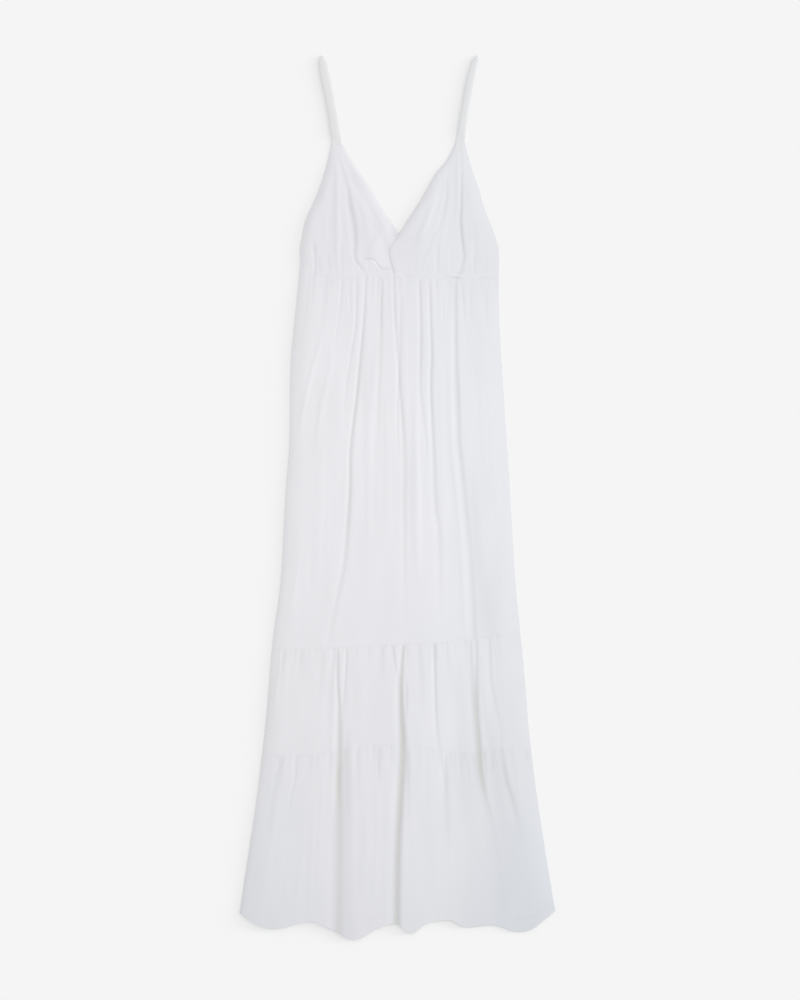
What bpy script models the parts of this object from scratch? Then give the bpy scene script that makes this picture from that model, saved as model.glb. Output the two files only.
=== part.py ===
"""A maxi dress in thin white cotton, laid flat on its back with the front upwards.

The dress has two thin straps, two crossed cups, a narrow band under the bust, a gathered skirt and two
gathered tiers below it. The back panels lie flat on the ground. The front panels lie on them in soft folds.
Sizes are in millimetres, and the meshes are in metres. "Across" runs to +X from the centre front, "down"
runs to -Y from the top of the shoulder straps, and +Z is up. The origin is under the middle of the dress.
"""

import math
import random

import bmesh
import bpy

MM = 0.001

# Driving sizes
SHOULDER_TO_HEM = 1450.0
CENTRE_FRONT_OFFSET = 4.1
WALL = 1.2
LAYER_GAP = 0.3
SEAM_GAP = 0.4
SIDE_ROLL = 24.0
CUP_ROLL = 15.0
SEAM_HOLD = 12.0
HEM_BACK_SHORTER = 4.0
FADE_SHARE = 0.35
LAP_LIFT = 1.8
LAP_TOP = 262.0
LAP_END = 52.0
LAP_FADE = 18.0
UNDERLAP_START = -46.0
UNDERLAP_FADE = 26.0
TIP_SLANT = 3.5
TIP_REACH = 14.0
SMOOTH_ANGLE = math.radians(50)

# How finely the panels are divided
FRONT_COLUMNS = 88
BACK_COLUMNS = 44
BAND_COLUMNS = 44
BODICE_BACK_COLUMNS = 10
BODICE_BACK_ROWS = 2
CUP_COLUMNS = 24
CUP_ROWS = 12
STRAP_TURNS = 4

# How the rows of a panel crowd towards its head (above 1) or its foot (below 1)
FRONT_CROWDING = 1.45
CUP_CROWDING = 0.9
EVEN = 1.0

FRONT_FLOOR = WALL + LAYER_GAP + WALL

# Outlines, as rows of (down, across)
SIDE_LEFT = [
    (346, -163.3), (435, -172), (503, -178.3), (637, -180.6), (721, -187), (865, -195.2),
    (965, -208.5), (1078, -218), (1208, -233), (1339, -252.5), (1406, -262.4),
]
SIDE_RIGHT = [
    (346, 161.6), (435, 162.6), (570, 170.8), (704, 179.7), (865, 189.3),
    (993, 201.7), (1132, 214), (1250, 229.6), (1403, 254.2),
]
ARMHOLE_LEFT = [
    (143, -112.3), (188, -122.3), (230, -136.6), (270, -154.2), (294, -159.7), (316, -163),
    (352, -163.3),
]
NECK_LEFT = [(143, -95.8), (181, -74.3), (216, -51.2), (252, -29.8), (286, -6.6), (352, 29.5)]
NECK_RIGHT = [
    (137, 94.4), (173, 76.8), (194, 59), (237, 34.1), (270, 12.8), (289, 1),
    (316, -14.8), (324, -16.4), (340, -12.8), (354, -9),
]
ARMHOLE_RIGHT = [
    (137, 104.5), (181, 116), (221, 130.2), (255, 141), (294, 155), (322, 161.6), (356, 161.6),
]
CUP_LEFT_APEX = 143.0
CUP_RIGHT_APEX = 137.0

# The straps. The middles are rows of (down, across), and the widths are rows of (down, width).
STRAP_LEFT_MIDDLE = [(0, -128.2), (25, -124.5), (40, -121.5), (73, -115), (106, -109), (142, -104)]
STRAP_RIGHT_MIDDLE = [(0, 125.4), (15, 121.5), (40, 115.5), (74, 109), (106, 104), (136, 99.4)]
STRAP_LEFT_WIDTHS = [(0, 7), (6, 10.5), (15, 12.5), (40, 14.5), (75, 13.5), (142, 15)]
STRAP_RIGHT_WIDTHS = [(0, 6), (6, 8.5), (15, 10), (40, 11.5), (75, 11), (136, 13)]

# Where the straps have rows, down their front and down their back, and where across their width the tips lie
STRAP_FRONT_STOPS = [105, 70, 40, 20, 9]
STRAP_BACK_STOPS = [9, 20, 40, 70, 105, 150, 210, 270]
STRAP_LEFT_TIP = 0.2
STRAP_RIGHT_TIP = 0.5

# Lines that run across the dress, as rows of (across, down)
BACK_TOP = [(-163, 316), (0, 322), (162, 319)]
BAND_TOP = [(-164, 347.5), (0, 352.5), (162, 356.5)]
BAND_BOTTOM = [(-166, 360), (0, 364.5), (162, 370)]
TIER_SEAM_1 = [(-209, 976.5), (-98, 972.5), (0, 967), (66, 964.3), (125, 957), (199, 948.7)]
TIER_SEAM_2 = [
    (-227, 1149), (-169, 1149), (-115, 1143), (-30, 1131), (26, 1134),
    (84, 1140.6), (107, 1146), (151, 1139), (217, 1135.7),
]
HEM = [
    (-262, 1406), (-238, 1423), (-203, 1432), (-146, 1420), (-110, 1434), (-74, 1450),
    (-38, 1432), (-5, 1423.5), (18, 1440), (40, 1425), (62, 1418.5), (85, 1418.5),
    (105, 1429), (155, 1426), (188, 1436), (213, 1434), (238, 1416), (254, 1403),
]

# How high the front stands off the back between its folds, as rows of (down, height)
LOFT = [
    (138, 0.2), (190, 1.8), (250, 3.2), (320, 3.2), (352, 1.5), (367, 1.5), (400, 3.4), (600, 3.6),
    (900, 3.6), (962, 2.8), (1000, 3.6), (1100, 3.6), (1141, 2.8), (1190, 3.7), (1450, 3.7),
]

# Folds that end at one of these run off the lower edge of their panel. Others fade out.
BAND_EDGE = 357
HEM_EDGE = 1450

# Folds of the front. Columns: down at the start and the end, across at the start, the middle and the end,
# half width at the start and the end, and the share of the loft that it takes away (below 0 for a ridge).
CUP_LEFT_FOLDS = [
    (165, BAND_EDGE, -97, -76, -66, 5, 6, 0.75),
    (175, BAND_EDGE, -104, -104, -106, 9, 9, -0.25),
    (306, BAND_EDGE, -141, -141, -142, 4.5, 4.5, 0.6),
    (312, BAND_EDGE, -119, -119, -119, 4.5, 4.5, 0.45),
    (300, BAND_EDGE, -97, -97, -97, 4.5, 5, 0.5),
    (305, BAND_EDGE, -50, -47, -46, 6, 7, 0.5),
]
CUP_RIGHT_FOLDS = [
    (142, BAND_EDGE, 103.5, 97.5, 105.5, 4.5, 5, 0.9),
    (180, 345, 73, 65.6, 39.4, 5.5, 6.5, 0.55),
    (290, BAND_EDGE, 120, 120, 120, 4.5, 5, 0.5),
    (312, BAND_EDGE, 61, 61, 61, 4.5, 4.5, 0.5),
    (312, BAND_EDGE, 84, 84, 84, 4.5, 4.5, 0.4),
    (318, BAND_EDGE, 142, 142, 142, 4.5, 4.5, 0.4),
]
SKIRT_FOLDS = [
    (362, 915, -56.6, -77.9, -106.6, 5, 9, 0.9),
    (364, 560, -29.8, -32, -36.4, 4.5, 6, 0.7),
    (364, 810, -9.8, 3, 11.5, 5, 7, 0.9),
    (366, 550, 32, 33.5, 35.5, 4.5, 5, 0.6),
    (366, 775, 49, 50.5, 62.3, 5, 8, 0.95),
    (367, 950, 90.7, 98, 124.6, 5.5, 9, 0.95),
    (367, 440, 100.7, 103, 106, 4.5, 4.5, 0.5),
    (361, 420, -142, -144, -146, 4.5, 4.5, 0.7),
    (361, 405, -117, -117, -117, 4.5, 4.5, 0.6),
    (361, 420, -95, -96, -97, 4.5, 4.5, 0.6),
    (362, 416, -82, -82, -82, 4.5, 4.5, 0.5),
    (362, 510, -68, -74, -81, 4.5, 5.5, 0.6),
    (400, 660, -106, -118, -141, 11, 14, -0.25),
    (540, 690, -152, -163, -173, 9, 12, -0.2),
    (560, 790, 24, 27, 32, 7, 9, -0.3),
    (600, 800, 80, 92, 106, 8, 10, -0.3),
]
LOWER_FOLDS = [
    (960, HEM_EDGE, -98.5, -95.5, -98, 5, 12, 1.0),
    (964, HEM_EDGE, 4.3, 4.9, -5.4, 6, 11, 1.0),
    (962, 1290, 58, 61.5, 84.5, 5, 9, 0.85),
    (955, 1400, 124.5, 132.8, 170, 6, 12, 1.0),
    (952, 1275, 146, 164, 197, 5, 9, 0.85),
    (962, 1040, -11.5, -8, -4, 4.5, 4.5, 0.6),
    (962, 1035, 11.5, 10, 8, 4.5, 4.5, 0.5),
    (957, 1010, 114.8, 115, 115, 4.5, 4.5, 0.5),
    (972, 1030, -148, -149, -150, 4.5, 5, 0.45),
    (1142, 1230, -211, -214, -219, 5, 6, 0.6),
    (1142, 1265, -169, -174, -183, 5, 8, 0.6),
    (1340, HEM_EDGE, -140, -143, -146, 10, 16, 0.45),
    (1330, HEM_EDGE, 70, 72, 74, 12, 18, 0.5),
    (1345, HEM_EDGE, 140, 136, 132, 10, 14, 0.35),
    (1040, 1400, -38, -50, -74, 14, 20, -0.2),
    (1010, 1200, 36, 43, 52, 10, 14, -0.2),
]

# Small gathers that each seam presses into the cloth below it. Columns: the seam, how many gathers, where
# the first and last are across, the shortest and longest, the smallest and largest share, and the seed.
GATHER_ROWS = [
    ("skirt", BAND_BOTTOM, 22, -156, 154, 28, 95, 0.2, 0.5, 5),
    ("lower", TIER_SEAM_1, 24, -198, 190, 24, 70, 0.2, 0.5, 11),
    ("lower", TIER_SEAM_2, 26, -214, 206, 22, 75, 0.2, 0.5, 23),
]
GATHER_HALF_WIDTH = 4.6
GATHER_SPREAD = 1.15
GATHER_JITTER = 0.3

CLOTH_COLOUR = (0.87, 0.87, 0.90, 1.0)
CLOTH_ROUGHNESS = 0.88


def clamp01(value):
    return min(1.0, max(0.0, value))


def ease(value):
    """A smooth step from 0 to 1."""
    value = clamp01(value)
    return value * value * (3 - 2 * value)


def along(rows, position):
    """A smooth curve through rows of (position, value), flat beyond both ends."""
    if position <= rows[0][0]:
        return rows[0][1]
    if position >= rows[-1][0]:
        return rows[-1][1]
    low = max(i for i, row in enumerate(rows[:-1]) if row[0] <= position)
    start, end = rows[low], rows[low + 1]
    before = rows[max(low - 1, 0)]
    after = rows[min(low + 2, len(rows) - 1)]
    span = end[0] - start[0]
    slope_in = (end[1] - before[1]) / (end[0] - before[0])
    slope_out = (after[1] - start[1]) / (after[0] - start[0])
    t = (position - start[0]) / span
    return (
        (2 * t**3 - 3 * t**2 + 1) * start[1]
        + (t**3 - 2 * t**2 + t) * span * slope_in
        + (3 * t**2 - 2 * t**3) * end[1]
        + (t**3 - t**2) * span * slope_out
    )


def gathers(part):
    """The small gathers below the seams of that part, in the columns of the fold tables."""
    rows = []
    for owner, seam, count, first, last, shortest, longest, least, most, seed in GATHER_ROWS:
        if owner != part:
            continue
        chance = random.Random(seed)
        pitch = (last - first) / (count - 1)
        for i in range(count):
            across = first + pitch * (i + chance.uniform(-GATHER_JITTER, GATHER_JITTER))
            start = along(seam, across)
            end = start + chance.uniform(shortest, longest)
            foot = across * (1 + (end - start) / SHOULDER_TO_HEM * GATHER_SPREAD)
            share = chance.uniform(least, most)
            path = (across, (across + foot) / 2, foot)
            rows.append((start, end, *path, GATHER_HALF_WIDTH, GATHER_HALF_WIDTH, share))
    return rows


def fold_depth(fold, across, down):
    """The share of the loft that one fold takes away at a point."""
    start, end, first, middle, last, narrow, wide, share = fold
    t = (down - start) / (end - start)
    if not 0 < t <= 1:
        return 0.0
    path = first * 2 * (t - 0.5) * (t - 1) - middle * 4 * t * (t - 1) + last * 2 * t * (t - 0.5)
    half_width = narrow + (wide - narrow) * t
    offset = (across - path) / half_width
    runs_off = end in (BAND_EDGE, HEM_EDGE)
    fade = ease((down - start) / SEAM_HOLD) * (1.0 if runs_off else ease((1 - t) / FADE_SHARE))
    return share * fade * math.exp(-offset * offset)


def relief(across, down, left, right, roll, folds):
    """How far the front's upper face stands above its lowest possible place."""
    edge = min(across - left, right - across)
    rounding = 1 - (1 - clamp01(edge / min(roll, (right - left) / 2 + 0.01))) ** 2
    height = along(LOFT, down) * rounding
    for fold in folds:
        height *= 1 - fold_depth(fold, across, down)
    return height


def cloth_material(name):
    """Matt white cotton."""
    material = bpy.data.materials.new(name)
    material.use_nodes = True
    shader = material.node_tree.nodes["Principled BSDF"]
    shader.inputs["Base Color"].default_value = CLOTH_COLOUR
    shader.inputs["Roughness"].default_value = CLOTH_ROUGHNESS
    shader.inputs["Metallic"].default_value = 0.0
    return material


def place(across, down, height):
    """A point of the dress in metres in the model's frame."""
    return (
        (across + CENTRE_FRONT_OFFSET) * MM,
        (SHOULDER_TO_HEM / 2 - down) * MM,
        height * MM,
    )


def wall(name, outer, inner):
    """A closed wall between two grids of (across, down, height) points with the same rows and columns."""
    mesh = bpy.data.meshes.new(name)
    bm = bmesh.new()
    skins = [[[bm.verts.new(place(*point)) for point in row] for row in grid] for grid in (outer, inner)]
    rows, columns = len(outer), len(outer[0])
    for skin in skins:
        for i in range(rows - 1):
            for j in range(columns - 1):
                bm.faces.new((skin[i][j], skin[i + 1][j], skin[i + 1][j + 1], skin[i][j + 1]))
    top, bottom = skins
    for j in range(columns - 1):
        for i in (0, rows - 1):
            bm.faces.new((top[i][j], top[i][j + 1], bottom[i][j + 1], bottom[i][j]))
    for i in range(rows - 1):
        for j in (0, columns - 1):
            bm.faces.new((top[i][j], top[i + 1][j], bottom[i + 1][j], bottom[i][j]))
    bmesh.ops.recalc_face_normals(bm, faces=bm.faces)
    bm.to_mesh(mesh)
    bm.free()
    mesh.materials.append(cloth_material("cotton_" + name))
    mesh.shade_smooth()
    mesh.set_sharp_from_angle(angle=SMOOTH_ANGLE)
    piece = bpy.data.objects.new(name, mesh)
    bpy.context.scene.collection.objects.link(piece)
    return piece


def plan(head, foot, left, right, columns, rows, crowding):
    """The plan of a panel as a grid of (across, down, left edge, right edge).

    head and foot are functions of across, left and right are functions of down, and crowding draws the rows
    towards the head, where the gathers are.
    """
    grid = []
    for i in range(rows + 1):
        t = (i / rows) ** crowding
        line = []
        for j in range(columns + 1):
            s = j / columns
            ends = []
            for edge in (head, foot):
                level = edge(0)
                ends.append(edge(left(level) + s * (right(level) - left(level))))
            down = ends[0] + SEAM_GAP / 2 + t * (ends[1] - ends[0] - SEAM_GAP)
            line.append((left(down) + s * (right(down) - left(down)), down, left(down), right(down)))
        grid.append(line)
    return grid


def lean(rise, across, down, left, right):
    """How steep a front panel is at a point, as height per length."""
    step = 0.5
    sideways = rise(across + step, down, left, right) - rise(across - step, down, left, right)
    lengthways = rise(across, down + step, left, right) - rise(across, down - step, left, right)
    return math.hypot(sideways, lengthways) / (2 * step)


def front_panel(name, grid, rise):
    """A front panel: rise(across, down, left, right) is its height above the lowest place it can have."""
    outer, inner = [], []
    for line in grid:
        upper, lower = [], []
        for across, down, left, right in line:
            top = FRONT_FLOOR + rise(across, down, left, right)
            thickness = WALL * math.hypot(1, lean(rise, across, down, left, right))
            upper.append((across, down, top))
            lower.append((across, down, max(top - thickness, WALL + LAYER_GAP)))
        outer.append(upper)
        inner.append(lower)
    return wall(name, outer, inner)


def back_panel(name, grid):
    """A back panel, flat on the ground."""
    outer = [[(across, down, WALL) for across, down, _, _ in line] for line in grid]
    inner = [[(across, down, 0.0) for across, down, _, _ in line] for line in grid]
    return wall(name, outer, inner)


def line_of(rows, shift=0.0):
    """The curve through the rows as a function, moved by the shift."""
    return lambda position: along(rows, position) + shift


def make_skirt_and_tiers():
    """The gathered skirt and the two tiers below it, front and back."""
    left, right = line_of(SIDE_LEFT), line_of(SIDE_RIGHT)
    folds = SKIRT_FOLDS + LOWER_FOLDS + gathers("skirt") + gathers("lower")

    def rise(across, down, left_edge, right_edge):
        return relief(across, down, left_edge, right_edge, SIDE_ROLL, folds)

    # Columns: name, head, foot, how much shorter the back is, rows of the front and of the back
    panels = [
        ("skirt", BAND_BOTTOM, TIER_SEAM_1, 0.0, 13, 5),
        ("tier_middle", TIER_SEAM_1, TIER_SEAM_2, 0.0, 7, 2),
        ("tier_hem", TIER_SEAM_2, HEM, HEM_BACK_SHORTER, 9, 3),
    ]
    for name, head, foot, shorter, rows, back_rows in panels:
        front = plan(line_of(head), line_of(foot), left, right, FRONT_COLUMNS, rows, FRONT_CROWDING)
        front_panel(name + "_front", front, rise)
        back = plan(line_of(head), line_of(foot, -shorter), left, right, BACK_COLUMNS, back_rows, EVEN)
        back_panel(name + "_back", back)


def make_band():
    """The narrow band under the bust, front and back."""
    left, right = line_of(SIDE_LEFT), line_of(SIDE_RIGHT)

    def rise(across, down, left_edge, right_edge):
        return relief(across, down, left_edge, right_edge, SIDE_ROLL, [])

    head, foot = line_of(BAND_TOP), line_of(BAND_BOTTOM)
    front_panel("underbust_band_front", plan(head, foot, left, right, BAND_COLUMNS, 1, EVEN), rise)
    back_panel("underbust_band_back", plan(head, foot, left, right, BACK_COLUMNS, 1, EVEN))


def make_bodice_back():
    """The low back of the bodice, between the side seams."""
    head, foot = line_of(BACK_TOP), line_of(BAND_TOP)
    left, right = line_of(ARMHOLE_LEFT), line_of(ARMHOLE_RIGHT)
    back_panel("bodice_back", plan(head, foot, left, right, BODICE_BACK_COLUMNS, BODICE_BACK_ROWS, EVEN))


def make_cups():
    """The two front cups. The right one laps over the left one at the centre front."""

    def lap(across, down):
        """1 where the cups lie on each other, 0 away from there."""
        return ease((down - LAP_TOP) / LAP_FADE) * ease((LAP_END - across) / LAP_FADE)

    def rise_left(across, down, left_edge, right_edge):
        under = 1 - ease((across - UNDERLAP_START) / UNDERLAP_FADE)
        return relief(across, down, left_edge, right_edge, CUP_ROLL, CUP_LEFT_FOLDS) * under

    def rise_right(across, down, left_edge, right_edge):
        free = relief(across, down, left_edge, right_edge, CUP_ROLL, CUP_RIGHT_FOLDS)
        return max(free, LAP_LIFT * lap(across, down))

    band = line_of(BAND_TOP)
    # Columns: name, how far down the apex is, its two edges, its height function
    cups = [
        ("cup_left", CUP_LEFT_APEX, ARMHOLE_LEFT, NECK_LEFT, rise_left),
        ("cup_right", CUP_RIGHT_APEX, NECK_RIGHT, ARMHOLE_RIGHT, rise_right),
    ]
    for name, apex, left, right, rise in cups:
        top = line_of([(0, apex)])
        grid = plan(top, band, line_of(left), line_of(right), CUP_COLUMNS, CUP_ROWS, CUP_CROWDING)
        front_panel(name, grid, rise)


def make_strap(name, middle, widths, apex, tip):
    """A strap from the top of a cup over its fold at the shoulder and down to the back of the bodice."""
    radius = FRONT_FLOOR / 2
    end_slope = (middle[-1][1] - middle[-2][1]) / (middle[-1][0] - middle[-2][0])

    def centre(down):
        return along(middle, down) + max(0.0, down - apex) * end_slope

    back_end = along(BACK_TOP, centre(BACK_TOP[1][1])) - LAYER_GAP
    # The path of the hairpin, as (down, height of the outer face, down and height of the inner face)
    front_stops = [apex - LAYER_GAP] + STRAP_FRONT_STOPS
    path = [(down, FRONT_FLOOR, down, WALL + LAYER_GAP) for down in front_stops]
    for i in range(STRAP_TURNS + 1):
        turn = math.pi * i / STRAP_TURNS
        reach, rise = math.sin(turn), math.cos(turn)
        path.append((
            radius - radius * reach,
            radius + radius * rise,
            radius - LAYER_GAP / 2 * reach,
            radius + LAYER_GAP / 2 * rise,
        ))
    path += [(down, 0.0, down, WALL) for down in STRAP_BACK_STOPS + [back_end]]
    outer, inner = [], []
    for outer_down, outer_height, inner_down, inner_height in path:
        half = along(widths, outer_down) / 2
        across = centre(outer_down)
        near_tip = ease((TIP_REACH - outer_down) / TIP_REACH)
        upper, lower = [], []
        for side in (-1, tip, 1):
            slant = TIP_SLANT * abs(side - tip) * near_tip
            upper.append((across + side * half, outer_down + slant, outer_height))
            lower.append((across + side * half, inner_down + slant, inner_height))
        outer.append(upper)
        inner.append(lower)
    return wall(name, outer, inner)


def make_straps():
    make_strap("strap_left", STRAP_LEFT_MIDDLE, STRAP_LEFT_WIDTHS, CUP_LEFT_APEX, STRAP_LEFT_TIP)
    make_strap("strap_right", STRAP_RIGHT_MIDDLE, STRAP_RIGHT_WIDTHS, CUP_RIGHT_APEX, STRAP_RIGHT_TIP)


def main():
    for old in list(bpy.data.objects):
        bpy.data.objects.remove(old)
    make_straps()
    make_cups()
    make_bodice_back()
    make_band()
    make_skirt_and_tiers()


main()
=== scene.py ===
"""A maxi dress in thin white cotton, laid flat on a pale floor with its front upwards.

It is seen from straight above. Every piece of cloth is a thin shell on its solid's form, with the finer
creases, gathers, hems and stitches. Sizes are in millimetres unless a name or comment says otherwise, and
the meshes are in metres. "Across" runs to +X from the centre front, and "down" runs to -Y from the top of
the shoulder straps, as in the solids.
"""

import math
import random

import bpy
import numpy as np
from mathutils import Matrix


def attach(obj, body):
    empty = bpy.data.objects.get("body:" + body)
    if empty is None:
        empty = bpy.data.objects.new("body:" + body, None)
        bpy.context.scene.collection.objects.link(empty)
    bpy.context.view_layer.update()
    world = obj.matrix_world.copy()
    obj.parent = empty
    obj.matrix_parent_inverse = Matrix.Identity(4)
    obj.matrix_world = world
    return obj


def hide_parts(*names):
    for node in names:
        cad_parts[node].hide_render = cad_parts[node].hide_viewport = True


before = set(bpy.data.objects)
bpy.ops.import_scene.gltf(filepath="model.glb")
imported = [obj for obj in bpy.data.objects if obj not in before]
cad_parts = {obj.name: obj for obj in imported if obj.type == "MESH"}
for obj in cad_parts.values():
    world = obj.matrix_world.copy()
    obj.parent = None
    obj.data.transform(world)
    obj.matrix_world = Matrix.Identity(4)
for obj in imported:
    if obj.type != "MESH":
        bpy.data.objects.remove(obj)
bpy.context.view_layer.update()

MM = 0.001

# Driving sizes, the same as those of the solids
SHOULDER_TO_HEM = 1450.0
CENTRE_FRONT_OFFSET = 4.1
HEM_BACK_SHORTER = 4.0

# The cloth and the gaps between its layers and pieces
CLOTH = 0.5
LAYER_GAP = 0.05
SEAM_GAP = 0.02
LAYER_TOP = CLOTH + LAYER_GAP
FRONT_LOW = LAYER_TOP + CLOTH

# The front's height as a share of the loft, how much of it a full crease takes away, and a ridge's highest
RELIEF = 1.35
CREASE_CUT = 0.41
RIDGE_TOP = 1.3

# The folds of the back: their share of the height, how far across they are moved, and how much wider
BACK_LIFT = 0.25
BACK_SHIFT = 9.0
BACK_WIDER = 1.4

# The hem: its step where it is doubled, how soft that is, and how far in its edge turns down to the floor
HEM_STEP = 0.3
HEM_STEP_SOFT = 2.5
HEM_TURN = 0.5

# The turned edges of the cups: their width, their step and how soft it is, and where below the apex they
# begin and how soon they are full
EDGE_HEM = 8.0
EDGE_HEM_STEP = 0.15
EDGE_HEM_SOFT = 3.0
EDGE_HEM_START = 4.0
EDGE_HEM_COME = 20.0

# The right cup's lap over the left one: how high its edge stands, how thin it is and how far in, where down
# the lap begins and how soon it is full, and how far in it ends
LAP_LIFT = 2.55
LAP_EDGE = 0.2
LAP_THIN = 5.0
LAP_TOP = 286.0
LAP_FADE = 24.0
LAP_END = 50.0

# Under the lap the left cup lies low: from where down, how soon, and how far across this fades out
UNDERLAP_TOP = 240.0
UNDERLAP_COME = 50.0
UNDERLAP_FADE = 34.0

# Where down the cups come to lie on the back of the bodice, and how soon
BACK_UNDER_TOP = 306.0
BACK_UNDER_COME = 12.0

# The straps: their thickness, the height and start of their fold, how soon they rise to it from the cup,
# how far and how steeply their tips slant, and how far their edges drop
STRAP_CLOTH = 1.5
STRAP_TOP = 3.5
STRAP_FOLD = 2.0
STRAP_RISE = 16.0
TIP_REACH = 14.0
TIP_SLANT = 3.5
STRAP_EDGE_DROP = 0.6

# Stitches: their length, pitch, width and rise, the share of it at their sides, how far they sink in, how
# far their rows lie from a seam, end from a side and start from a cup's apex, and the ends of the band's
STITCH_LENGTH = 2.5
STITCH_PITCH = 3.3
STITCH_WIDTH = 0.45
STITCH_RISE = 0.07
STITCH_SIDE = 0.35
STITCH_SINK = 0.1
STITCH_INSET = 1.8
STITCH_END = 3.0
STITCH_START = 28.0
BAND_STITCHES = (-161, 159)

# Outlines, as rows of (down, across)
SIDE_LEFT = [
    (346, -163.3), (435, -172), (503, -178.3), (637, -180.6), (721, -187), (865, -195.2),
    (965, -208.5), (1078, -218), (1208, -233), (1339, -252.5), (1406, -262.4),
]
SIDE_RIGHT = [
    (346, 161.6), (435, 162.6), (570, 170.8), (704, 179.7), (865, 189.3),
    (993, 201.7), (1132, 214), (1250, 229.6), (1403, 254.2),
]
ARMHOLE_LEFT = [
    (143, -112.3), (188, -122.3), (230, -136.6), (270, -154.2), (294, -159.7), (316, -163),
    (352, -163.3),
]
NECK_LEFT = [(143, -95.8), (181, -74.3), (216, -51.2), (252, -29.8), (286, -6.6), (352, 29.5)]
NECK_RIGHT = [
    (137, 94.4), (173, 76.8), (194, 59), (237, 34.1), (270, 12.8), (289, 1),
    (316, -14.8), (324, -16.4), (340, -12.8), (354, -9),
]
ARMHOLE_RIGHT = [
    (137, 104.5), (181, 116), (221, 129.6), (255, 139.6), (294, 155), (322, 161.6), (356, 161.6),
]
CUP_LEFT_APEX = 143.0
CUP_RIGHT_APEX = 137.0

# The straps. The middles are rows of (down, across), and the widths are rows of (down, width).
STRAP_LEFT_MIDDLE = [(0, -128.2), (25, -124.5), (40, -121.5), (73, -115), (106, -109), (142, -104)]
STRAP_RIGHT_MIDDLE = [(0, 125.4), (15, 121.5), (40, 115.5), (74, 109), (106, 104), (136, 99.4)]
STRAP_LEFT_WIDTHS = [(0, 7), (6, 10.5), (15, 12.5), (40, 14.5), (75, 13.5), (142, 15)]
STRAP_RIGHT_WIDTHS = [(0, 6), (6, 8.5), (15, 10), (40, 11.5), (75, 11), (136, 13)]

# Lines that run across the dress, as rows of (across, down)
BACK_TOP = [(-163, 316), (0, 322), (162, 319)]
BAND_TOP = [(-164, 347.5), (0, 352.5), (162, 356.5)]
BAND_BOTTOM = [(-166, 360), (0, 364.5), (162, 370)]
TIER_SEAM_1 = [(-209, 976.5), (-98, 972.5), (0, 967), (66, 964.3), (125, 957), (199, 948.7)]
TIER_SEAM_2 = [
    (-227, 1149), (-169, 1149), (-115, 1143), (-30, 1131), (26, 1134),
    (84, 1140.6), (107, 1146), (151, 1139), (217, 1135.7),
]
HEM = [
    (-262, 1406), (-238, 1423), (-203, 1432), (-146, 1420), (-110, 1434), (-74, 1450),
    (-38, 1432), (-5, 1423.5), (18, 1440), (40, 1425), (62, 1418.5), (85, 1418.5),
    (105, 1429), (155, 1426), (188, 1436), (213, 1434), (238, 1416), (254, 1403),
]

# Where the hem is turned up to and stitched
HEM_LINE = [
    (-262, 1390), (-246, 1399), (-197, 1402), (-150, 1400), (-110, 1413), (-74, 1425), (-38, 1412),
    (-5, 1404), (18, 1415), (40, 1404), (65, 1399), (85, 1400), (105, 1408), (155, 1407),
    (188, 1414), (213, 1412), (238, 1397), (254, 1386),
]

# How high the front stands off the back between its creases, as rows of (down, height)
LOFT = [
    (138, 0.4), (190, 2.2), (250, 3.2), (310, 3.1), (350, 2.2), (368, 2.2), (410, 3.3), (600, 3.6),
    (900, 3.6), (962, 3.1), (1000, 3.6), (1100, 3.6), (1141, 3.1), (1190, 3.7), (1450, 3.7),
]

# How far in from each side the cloth rolls up to that height, as rows of (down, distance)
ROLL_LEFT = [(138, 12), (350, 18), (430, 28), (560, 32), (730, 34), (950, 28), (1420, 42)]
ROLL_RIGHT = [(138, 16), (350, 32), (700, 38), (950, 46), (1100, 40), (1200, 36), (1420, 34)]
ROLL_NECK = [(138, 34), (350, 34)]

# How much of that rise comes at once at the left edges, and how far in
EDGE_RISE = 0.4
EDGE_TURN = 7.0

# How much of the height is left on the right side, where the dress lies lower, and where across this begins
# and ends
RIGHT_SHARE = 0.36
RIGHT_START = 30.0
RIGHT_END = 160.0

# How the colour of the cotton changes along the dress, as rows of (Y in metres, colour). Besides the
# cotton's own bluish white, it holds painted shade that darkens it from the middle of the skirt down to the
# hem.
LENGTHWISE = [
    (-0.70, (0.748, 0.757, 0.784)), (-0.60, (0.773, 0.781, 0.807)), (-0.48, (0.787, 0.794, 0.818)),
    (-0.30, (0.805, 0.810, 0.834)), (-0.13, (0.826, 0.829, 0.854)), (0.12, (0.838, 0.843, 0.866)),
    (0.32, (0.822, 0.826, 0.850)), (0.42, (0.800, 0.805, 0.831)), (0.60, (0.797, 0.803, 0.829)),
]
STRAP_LENGTHWISE = [(-0.70, (0.79, 0.795, 0.80)), (0.60, (0.79, 0.795, 0.80))]

# How it changes across the dress and at its lower corners, as rows of (X in metres, colour). Across, a
# lavender to blue tint also holds painted shade that darkens the right side, and the corners are darker.
ACROSS = [
    (-0.19, (0.988, 0.980, 0.985)), (-0.05, (1.0, 0.992, 1.0)), (0.08, (0.992, 0.995, 1.0)),
    (0.17, (0.966, 0.974, 0.987)),
]
CORNERS = [
    (-0.24, (0.955, 0.972, 0.978)), (-0.12, (1, 1, 1)), (0.05, (1, 1, 1)),
    (0.14, (0.965, 0.968, 0.975)), (0.24, (0.938, 0.958, 0.965)),
]

# Between which Y, in metres, the corners come in, and the painted crease shade of the skirt changes to that
# of the cups
CORNERS_Y = (-0.70, -0.38)
CUPS_Y = (0.34, 0.42)

# The painted shade that darkens a crease, warmer on the skirt than on the cups, as rows of (strength,
# colour), and how fast the strength comes in
SKIRT_SHADE = [(0.0, (1, 1, 1)), (0.3, (0.928, 0.930, 0.928)), (1.0, (0.778, 0.777, 0.712))]
CUP_SHADE = [(0.0, (1, 1, 1)), (0.3, (0.928, 0.932, 0.936)), (1.0, (0.760, 0.772, 0.782))]
CREASE_SHADE_POWER = 1.5

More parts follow.
